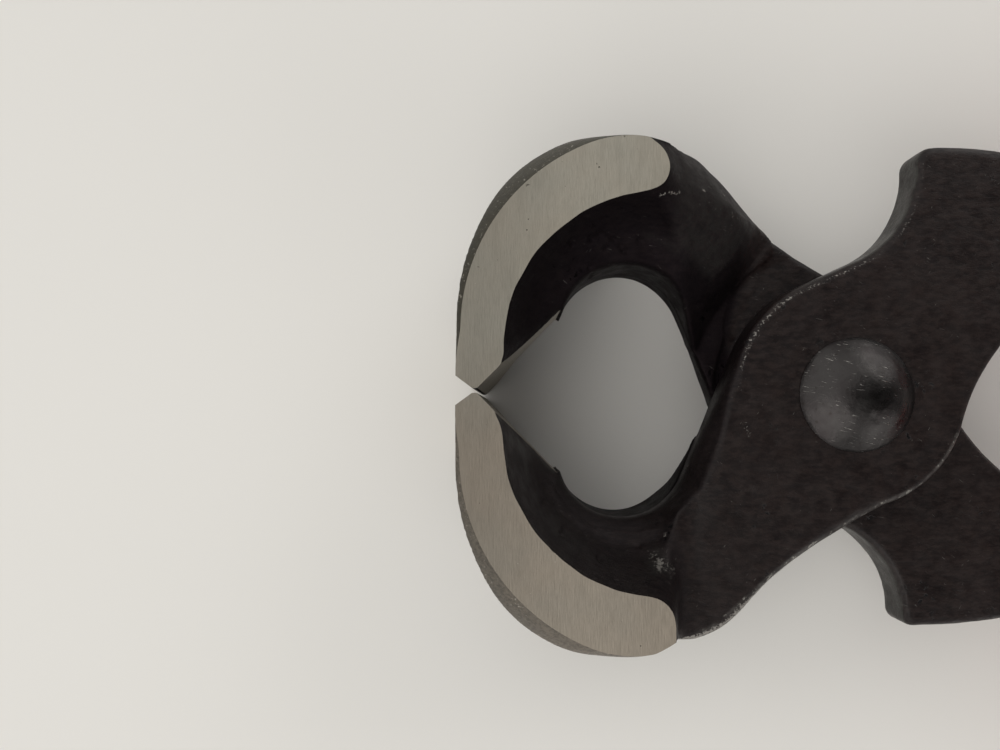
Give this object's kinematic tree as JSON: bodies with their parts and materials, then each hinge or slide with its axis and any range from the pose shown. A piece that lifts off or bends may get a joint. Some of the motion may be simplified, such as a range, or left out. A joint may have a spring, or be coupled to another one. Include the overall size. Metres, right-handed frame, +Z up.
{
  "type": "end cutting nippers",
  "caption": "Forged end cutting nippers with wide flat-fronted jaws, a riveted lap joint and bowed handles in dipped grips.",
  "frame": {"origin": "centre of the tool's bounding box on the ground plane, with the tool lying on the flat sides of its jaws", "axes": "+X from the jaws towards the handle ends, +Z up along the rivet's axis, +Y across the handles towards the front lever's handle"},
  "size_m": [0.2, 0.0574, 0.025],
  "materials": {
    "forged_steel": "black oxide on the forging, bare brushed steel where the jaw sides are ground",
    "rivet_steel": "dark steel with a soft sheen",
    "dipped_vinyl": "smooth dipped vinyl"
  },
  "bodies": {
    "rear": {"rear_lever": "forged_steel", "pivot_rivet": "rivet_steel", "rear_grip": "dipped_vinyl"},
    "front": {"front_lever": "forged_steel", "front_grip": "dipped_vinyl"}
  },
  "joints": [
    {"name": "jaw_hinge", "type": "hinge", "parent": "rear", "child": "front", "pos_m": [-0.0617, 0, 0.0125], "axis": [0, 0, 1], "range_deg": [0, 34]}
  ]
}
